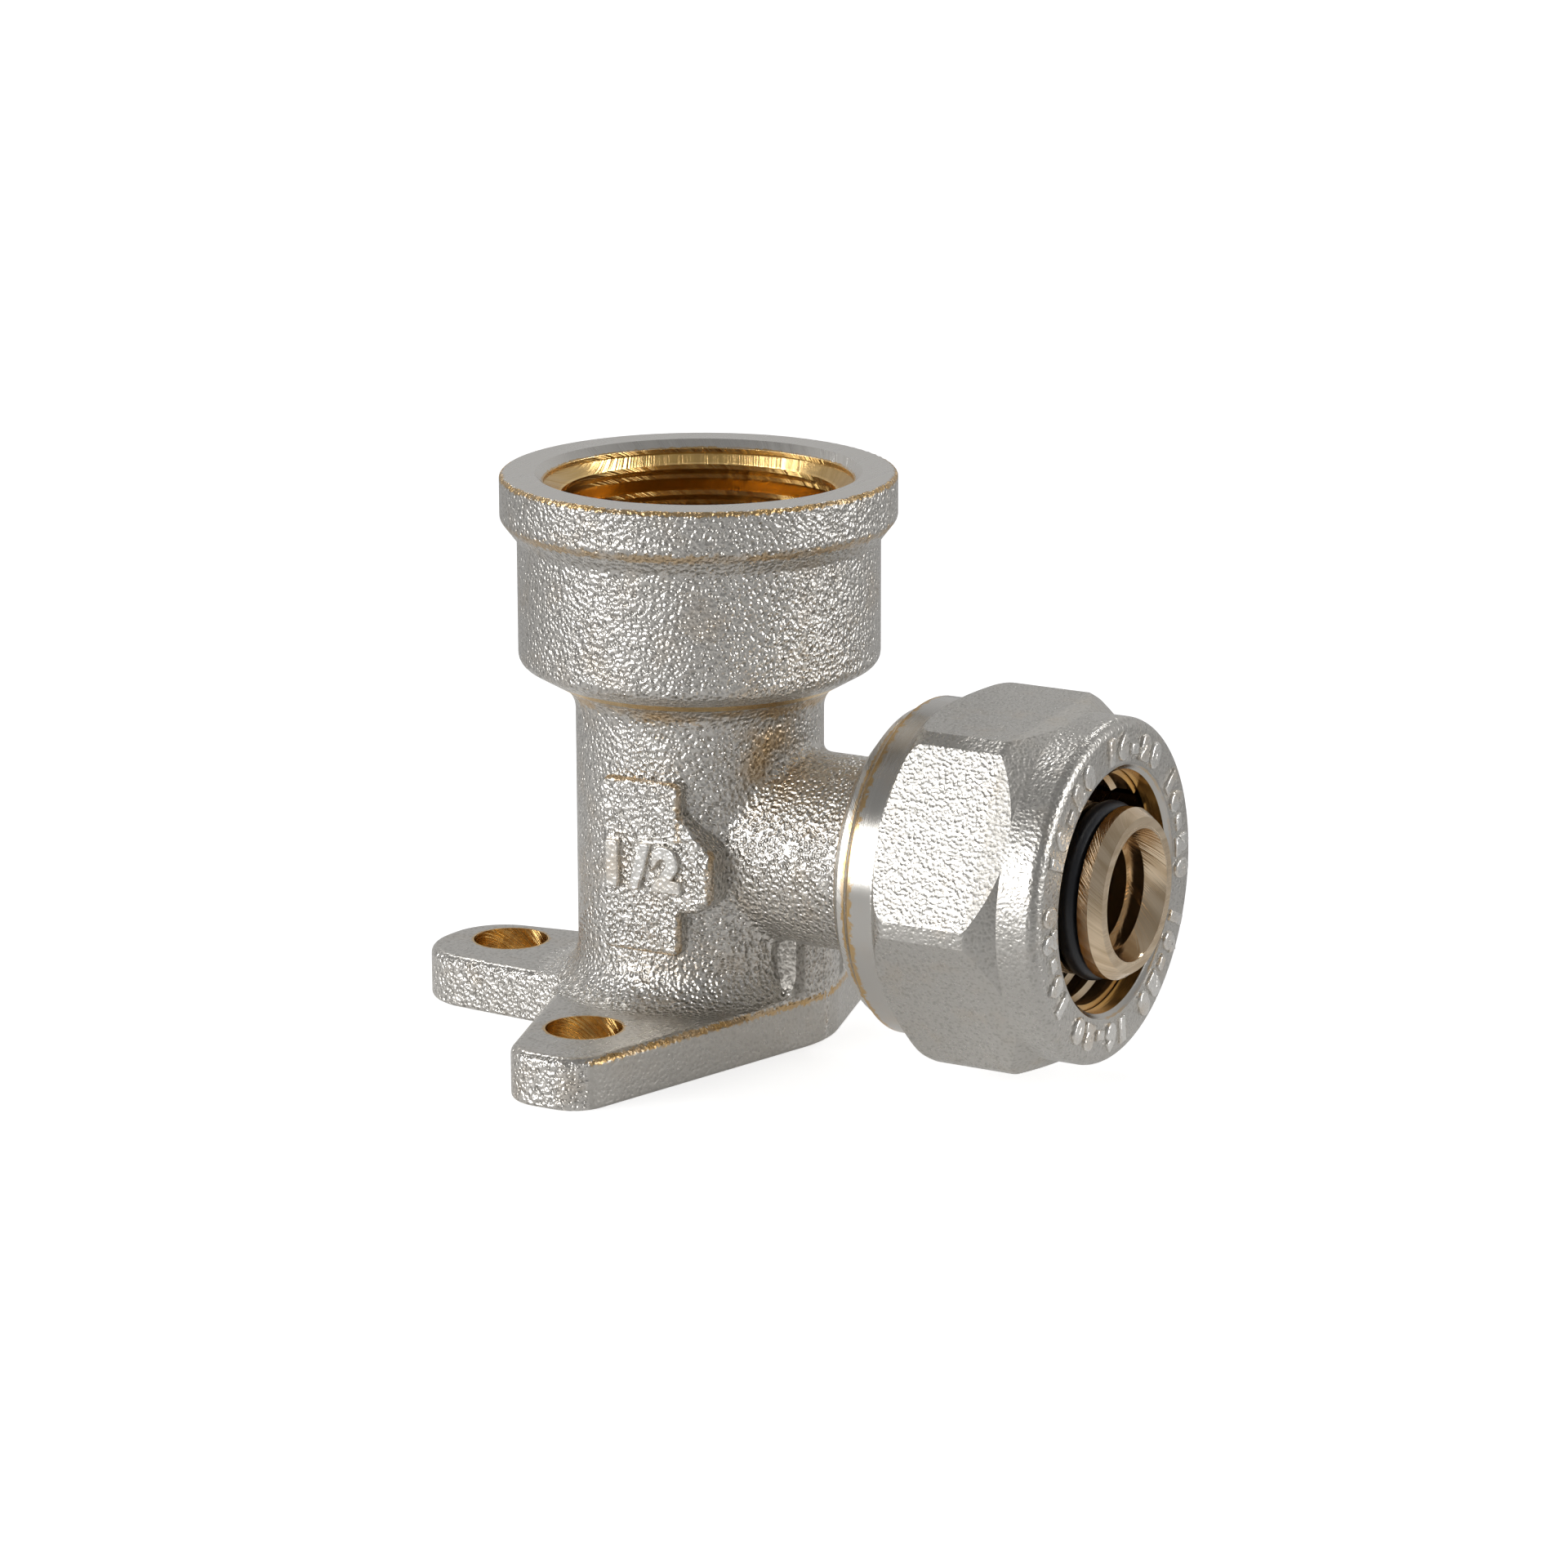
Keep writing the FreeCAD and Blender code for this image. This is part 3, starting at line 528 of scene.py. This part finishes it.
def makeNutFinish():
    material, tree, shader, place = newMaterial("platedNut")
    marks = nutMarks
    inBand, wornAt, share = maskTools(tree, place, marks)
    axes = useGroup(tree, "pipeAxes", Place=place)
    outletRadius, reach = axes["OutletRadius"], axes["Reach"]
    grain = useGroup(tree, "forgedGrain", Place=place, Cell=finishes["grainCell"] * marks["grainSize"])
    turned = useGroup(tree, "turnedMarks", Place=place, Value=reach, Spacing=marks["turnedSpacing"])
    inside = either(tree, both(tree, inBand(outletRadius, "boreRadius"), inBand(reach, "boreReach")),
                    both(tree, inBand(outletRadius, "throatRadius"), inBand(reach, "throatReach")))
    lip = both(tree, inBand(outletRadius, "lipRadius"), inBand(reach, "lipReach"))
    smooth = either(tree, inBand(reach, "collarReach"), lip)
    bared = either(
        tree,
        wornAt(reach, outletRadius, "rearEdge"),
        share(wornAt(reach, outletRadius, "mouth"), "mouth"),
        share(ramp(tree, grain["Cloud"], *marks["wornCloud"]), "cloud"),
    )
    streaks = ramp(tree, turned["Tone"], *finishes["streakSpan"], 0.0, marks["shares"]["streaks"])
    brass = blendColour(tree, streaks, finishes["goldenBrass"], finishes["goldenShade"])
    colour = skinColour(tree, grain, "nutShade", "nutNickel")
    for mask, look in ((smooth, finishes["nutNickel"]), (bared, finishes["wornBrass"]), (inside, brass)):
        colour = blendColour(tree, mask, colour, look)

    calm = either(tree, inside, smooth)
    skinRough = sums(tree, "MULTIPLY_ADD", inBand(reach, "frontCone"), marks["coneRougher"],
                     grainRough(tree, grain, marks["grainRough"]))
    rough = blendValue(tree, calm, skinRough, turnedRough(tree, turned, marks["turnedRough"]))
    skin = bump(tree, grain["Relief"], finishes["grainDepth"] * marks["grainHeight"],
                strength=sums(tree, "SUBTRACT", 1.0, calm, clamp=True))
    normal = bump(tree, turned["Relief"], finishes["turnedDepth"], before=skin, strength=calm)
    finishShader(tree, shader, colour, rough, normal, metallic=1.0)
    return material


figureMarks = {
    "wornCloud": (0.45, 0.7), "wornShare": 0.3, "grainRough": (0.30, 0.20),
    "grainHeight": 0.25,  # times the forging's
}


def makeFigureFinish():  # raised figures: rubbed smoother than the skin round them, and drawn in a paler nickel as a painted highlight
    material, tree, shader, place = newMaterial("rubbedFiguresWithHighlight")
    marks = figureMarks
    grain = useGroup(tree, "forgedGrain", Place=place, Cell=finishes["grainCell"])
    worn = ramp(tree, grain["Cloud"], *marks["wornCloud"], 0.0, marks["wornShare"])
    finishShader(tree, shader, blendColour(tree, worn, finishes["rubbedHighlightNickel"], finishes["wornBrass"]),
                 grainRough(tree, grain, marks["grainRough"]),
                 bump(tree, grain["Relief"], finishes["grainDepth"] * marks["grainHeight"]), metallic=1.0)
    return material


ringMarks = {"turnedSpacing": 0.1, "streakSpan": (0.35, 0.65), "streakShare": 0.3, "turnedRough": (0.16, 0.3)}


def makeRingBrass():
    material, tree, shader, place = newMaterial("ringBrass")
    marks = ringMarks
    reach = useGroup(tree, "pipeAxes", Place=place)["Reach"]
    turned = useGroup(tree, "turnedMarks", Place=place, Value=reach, Spacing=marks["turnedSpacing"])
    streaks = ramp(tree, turned["Tone"], *marks["streakSpan"], 0.0, marks["streakShare"])
    finishShader(tree, shader, blendColour(tree, streaks, finishes["beigeBrass"], finishes["beigeShade"]),
                 turnedRough(tree, turned, marks["turnedRough"]),
                 bump(tree, turned["Relief"], finishes["turnedDepth"]), metallic=1.0)
    return material


softLooks = {
    "sealRubber": {"colour": (0.014, 0.016, 0.022, 1.0), "roughness": 0.3, "speckleScale": 9.0},
    "washerPlastic": {"colour": (0.02, 0.02, 0.021, 1.0), "roughness": 0.5, "speckleScale": 7.0},
    "cloudScale": 1.4, "dustGain": 2.2, "dustLift": 0.01, "dustSpan": (0.5, 0.8), "dustShare": 0.5,
    "roughSpan": (0.3, 0.7), "roughMore": 0.14, "speckleDepth": 0.000004,
}


def makeSoft(name):  # rubber and plastic: dark, a little dusty in patches
    material, tree, shader, place = newMaterial(name)
    look, shared = softLooks[name], softLooks
    cloud = noise(tree, place, shared["cloudScale"], 3.0, 0.6)
    dusty = tuple(min(1.0, part * shared["dustGain"] + shared["dustLift"]) for part in look["colour"][:3]) + (1.0,)
    dust = ramp(tree, cloud, *shared["dustSpan"], 0.0, shared["dustShare"])
    rough = ramp(tree, cloud, *shared["roughSpan"], look["roughness"], look["roughness"] + shared["roughMore"])
    speckle = noise(tree, place, look["speckleScale"], 2.0)
    finishShader(tree, shader, blendColour(tree, dust, look["colour"], dusty), rough,
                 bump(tree, speckle, shared["speckleDepth"]))
    return material


forging = makeForging()
nutFinish = makeNutFinish()
figureFinish = makeFigureFinish()
ringBrass = makeRingBrass()
sealRubber = makeSoft("sealRubber")
washerPlastic = makeSoft("washerPlastic")

for nodeName, material in (("elbow_body", forging), ("compression_nut", nutFinish), ("split_ring", ringBrass),
                           ("front_o_ring", sealRubber), ("rear_o_ring", sealRubber),
                           ("insulating_washer", washerPlastic)):
    nodes[nodeName].material_slots[0].material = material
print("materials on the solids")


# the outlet's thread: one ridge section, swept round by a screw modifier and cut flat at both ends

outletThread = {  # m, along the outlet's axis from the socket's
    "pitch": 0.0015, "turns": 6, "steps": 72, "start": 0.0162,
    "base": 0.00125, "crest": 0.00035, "footRadius": 0.00908, "crestRadius": 0.00950,
    "low": 0.0178, "high": 0.02335,
}


def makeOutletThread():
    settings = outletThread
    foot, top = settings["footRadius"], settings["crestRadius"]
    middle = (foot + top) / 2
    deselectAll()
    bpy.ops.mesh.primitive_plane_add(size=1.0, location=(middle, 0, settings["start"]),
                                     rotation=(math.radians(90), 0, 0))
    piece = takeNew("outlet_thread_ridge")
    piece.scale = (top - foot, settings["base"], 1.0)
    bpy.ops.object.transform_apply(location=True, rotation=True, scale=True)
    pickPoints(piece, lambda place: place.x > middle)
    bpy.ops.transform.resize(value=(1, 1, settings["crest"] / settings["base"]))
    bpy.ops.object.mode_set(mode="OBJECT")
    screw = piece.modifiers.new("helix", "SCREW")
    screw.axis = "Z"
    screw.angle = math.radians(360)
    screw.screw_offset = settings["pitch"]
    screw.iterations = settings["turns"]
    screw.steps = screw.render_steps = settings["steps"]
    screw.use_merge_vertices = False
    bpy.ops.object.modifier_apply(modifier="helix")
    bpy.ops.object.mode_set(mode="EDIT")
    bpy.ops.mesh.select_all(action="SELECT")
    bpy.ops.mesh.remove_doubles(threshold=1e-7)
    for level, clearAbove in ((settings["low"], False), (settings["high"], True)):
        bpy.ops.mesh.select_all(action="SELECT")
        bpy.ops.mesh.bisect(plane_co=(0, 0, level), plane_no=(0, 0, 1), use_fill=True,
                            clear_outer=clearAbove, clear_inner=not clearAbove)
    bpy.ops.mesh.select_all(action="SELECT")
    bpy.ops.mesh.normals_make_consistent(inside=False)
    bpy.ops.object.mode_set(mode="OBJECT")
    piece.rotation_euler = (0, math.radians(90), 0)  # +Z of the helix turns to +X
    piece.location = (0, 0, outletHeight)
    return settle(piece)


outletPiece = makeOutletThread()
outletPiece.data.materials.append(ringBrass)
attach(outletPiece, "elbow")
print("outlet thread made")


# raised figures: plain sizes, set on the pad and round the nut's front ring

capitalShare = 0.7  # the height of a figure in its font's size


def makeFigure(text, settings):
    deselectAll()
    bpy.ops.object.text_add()
    figure = bpy.context.object
    figure.data.body = text
    figure.data.align_x = "CENTER"
    figure.data.align_y = "CENTER"
    figure.data.size = settings["height"] / capitalShare
    figure.data.extrude = settings["rise"]
    figure.data.bevel_depth = settings["edge"]
    figure.data.bevel_resolution = 2
    figure.data.offset = settings["weight"]
    figure.data.space_character = settings["apart"]
    figure.data.resolution_u = 4
    bpy.ops.object.convert(target="MESH")
    return bpy.context.object


padFigure = {  # m
    "text": "1/2", "height": 0.0027, "rise": 0.00024, "edge": 0.00014, "weight": 0.00017, "apart": 1.3,
    "centre": (0.00055, -0.0089, 0.0131), "smoothAngle": 50,
}
figure = makeFigure(padFigure["text"], padFigure)
figure.name = "pad_figure"
figure.rotation_euler = (math.radians(90), 0, 0)
figure.location = padFigure["centre"]
settle(figure, padFigure["smoothAngle"])
figure.data.materials.append(figureFinish)
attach(figure, "elbow")

nutFigures = {  # m
    "text": "16-20 ", "repeats": 6, "height": 0.0013, "rise": 0.0002, "edge": 0.00014, "weight": 0.00015,
    "apart": 1.0, "smoothAngle": 50,
    "ringRadius": 0.00966, "face": 0.03166, "firstAngle": 96.0,
    "sunk": 0.9,  # of the rounded edge, into the face
}


def makeNutFigures():
    marks = []
    text = nutFigures["text"] * nutFigures["repeats"]
    for index, letter in enumerate(text):
        if letter == " ":
            continue
        mark = makeFigure(letter, nutFigures)
        angle = math.radians(nutFigures["firstAngle"] - 360.0 * index / len(text))
        up = Vector((0, math.cos(angle), math.sin(angle)))
        across = Vector((0, math.sin(angle), -math.cos(angle)))
        out = Vector((1, 0, 0))
        spot = Vector((nutFigures["face"], 0, outletHeight)) + up * nutFigures["ringRadius"]
        turn = Matrix((across, up, out)).transposed().to_4x4()
        mark.matrix_world = Matrix.Translation(spot - out * nutFigures["edge"] * nutFigures["sunk"]) @ turn
        marks.append(mark)
    deselectAll()
    for mark in marks:
        mark.select_set(True)
    bpy.context.view_layer.objects.active = marks[0]
    bpy.ops.object.join()
    ring = bpy.context.object
    ring.name = "nut_ring_figures"
    return settle(ring, nutFigures["smoothAngle"])


ringFigures = makeNutFigures()
ringFigures.data.materials.clear()
ringFigures.data.materials.append(figureFinish)
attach(ringFigures, "nut")
print("figures made")


# stage: pale floor, soft lights, pale world

def lightRays(tree):  # the kinds of ray, and a mask of those that see the stage itself
    rays = tree.nodes.new("ShaderNodeLightPath").outputs
    return rays, sums(tree, "MAXIMUM", rays["Is Camera Ray"], rays["Is Transmission Ray"])


floorLook = {
    "size": 6.0, "height": -0.00002, "colour": (0.74, 0.74, 0.74, 1.0), "roughness": 0.8, "specular": 0.1,
    "shown": 0.75,                                 # glow towards the camera
    "nearSpan": (0.03, 0.09), "mirrored": (0.25, 0.0),  # glow in metal, from near the object to further off
}


def makeFloor():
    deselectAll()
    bpy.ops.mesh.primitive_plane_add(size=floorLook["size"], location=(0, 0, floorLook["height"]))
    piece = takeNew("studio_floor")
    material = bpy.data.materials.new("paleFloor")
    material.use_nodes = True
    tree = material.node_tree
    shader = tree.nodes["Principled BSDF"]
    shader.inputs["Base Color"].default_value = floorLook["colour"]
    shader.inputs["Roughness"].default_value = floorLook["roughness"]
    shader.inputs["Specular IOR Level"].default_value = floorLook["specular"]
    shader.inputs["Emission Color"].default_value = (1.0, 1.0, 1.0, 1.0)
    rays, seen = lightRays(tree)
    away = vectorSums(tree, "LENGTH", tree.nodes.new("ShaderNodeTexCoord").outputs["Object"])
    nearPale = ramp(tree, away, *floorLook["nearSpan"], *floorLook["mirrored"])
    mirrored = sums(tree, "MULTIPLY", rays["Is Glossy Ray"], nearPale)
    tree.links.new(sums(tree, "MULTIPLY_ADD", seen, floorLook["shown"], mirrored),
                   shader.inputs["Emission Strength"])
    piece.data.materials.append(material)
    return piece


floor = makeFloor()

lamps = {  # a low softbox at each side, two small high ones behind
    "left": {"place": (-0.52, -0.88, 0.30), "aim": (0.0, 0.0, 0.18), "size": (0.6, 0.56), "watts": 7.2},
    "right": {"place": (0.95, 0.32, 0.28), "aim": (0.01, 0.0, 0.18), "size": (0.5, 0.5), "watts": 3.8},
    "backLeft": {"place": (-0.57, 0.33, 0.75), "aim": (0.0, 0.0, 0.03), "size": (0.12, 0.12), "watts": 0.9},
    "backRight": {"place": (0.01, 0.66, 0.75), "aim": (0.0, 0.0, 0.03), "size": (0.12, 0.12), "watts": 0.9},
}
for lampName, lamp in lamps.items():
    deselectAll()
    towards = Vector(lamp["aim"]) - Vector(lamp["place"])
    bpy.ops.object.light_add(type="AREA", location=lamp["place"],
                             rotation=towards.to_track_quat("-Z", "Y").to_euler())
    light = bpy.context.object
    light.name = lampName + "_softbox"
    light.data.shape = "RECTANGLE"
    light.data.size, light.data.size_y = lamp["size"]
    light.data.energy = lamp["watts"]

roomLook = {
    "dark": 0.10, "pale": 0.42, "paleSide": (-0.49, 0.87, 0.0), "sideSpan": (-0.8, 0.8),  # paler on one side
    "ceiling": 0.42, "ceilingSpan": (0.35, 0.85),  # the ceiling's share of the wall's light
    "wallMirrored": 0.2,  # how far metal shows the white background and not the room
}


def makeRoom():
    world = bpy.data.worlds.new("paleRoom")
    bpy.context.scene.world = world
    world.use_nodes = True
    tree = world.node_tree
    background = tree.nodes["Background"]
    rays, seen = lightRays(tree)
    white = sums(tree, "MULTIPLY_ADD", rays["Is Glossy Ray"], roomLook["wallMirrored"], seen, clamp=True)
    direction = tree.nodes.new("ShaderNodeTexCoord").outputs["Generated"]
    aside = vectorSums(tree, "DOT_PRODUCT", direction, roomLook["paleSide"])
    rising = vectorSums(tree, "DOT_PRODUCT", direction, (0.0, 0.0, 1.0))
    room = sums(tree, "MULTIPLY", ramp(tree, aside, *roomLook["sideSpan"], roomLook["dark"], roomLook["pale"]),
                ramp(tree, rising, *roomLook["ceilingSpan"], 1.0, roomLook["ceiling"]))
    tree.links.new(blendValue(tree, white, room, 1.0), background.inputs["Strength"])
    background.inputs["Color"].default_value = (1.0, 1.0, 1.0, 1.0)


makeRoom()

view = {  # the photograph's angle, for a square image
    "azimuth": 29.5497, "elevation": 14.8086, "roll": -0.12653, "distance": 0.3900848,
    "aimHeight": 0.018, "slideRight": 0.00570846, "slideUp": -0.00116417,
    "lens": 131.25, "sensorWidth": 36.0, "clipStart": 0.01,
}


def makeCamera():
    turnAngle, rise, roll = (math.radians(view[part]) for part in ("azimuth", "elevation", "roll"))
    back = Vector((math.sin(turnAngle) * math.cos(rise), -math.cos(turnAngle) * math.cos(rise), math.sin(rise)))
    levelRight = Vector((math.cos(turnAngle), math.sin(turnAngle), 0))
    plumb = back.cross(levelRight)
    right = levelRight * math.cos(roll) + plumb * math.sin(roll)
    up = plumb * math.cos(roll) - levelRight * math.sin(roll)
    aim = Vector((0, 0, view["aimHeight"]))
    spot = aim + back * view["distance"] + right * view["slideRight"] + up * view["slideUp"]
    deselectAll()
    bpy.ops.object.camera_add()
    camera = bpy.context.object
    camera.name = "photo_camera"
    camera.matrix_world = Matrix.Translation(spot) @ Matrix((right, up, back)).transposed().to_4x4()
    camera.data.sensor_width = view["sensorWidth"]
    camera.data.lens = view["lens"]
    camera.data.clip_start = view["clipStart"]
    bpy.context.scene.camera = camera


makeCamera()
bpy.context.scene.view_settings.view_transform = "Standard"
print("stage, lights and camera set")
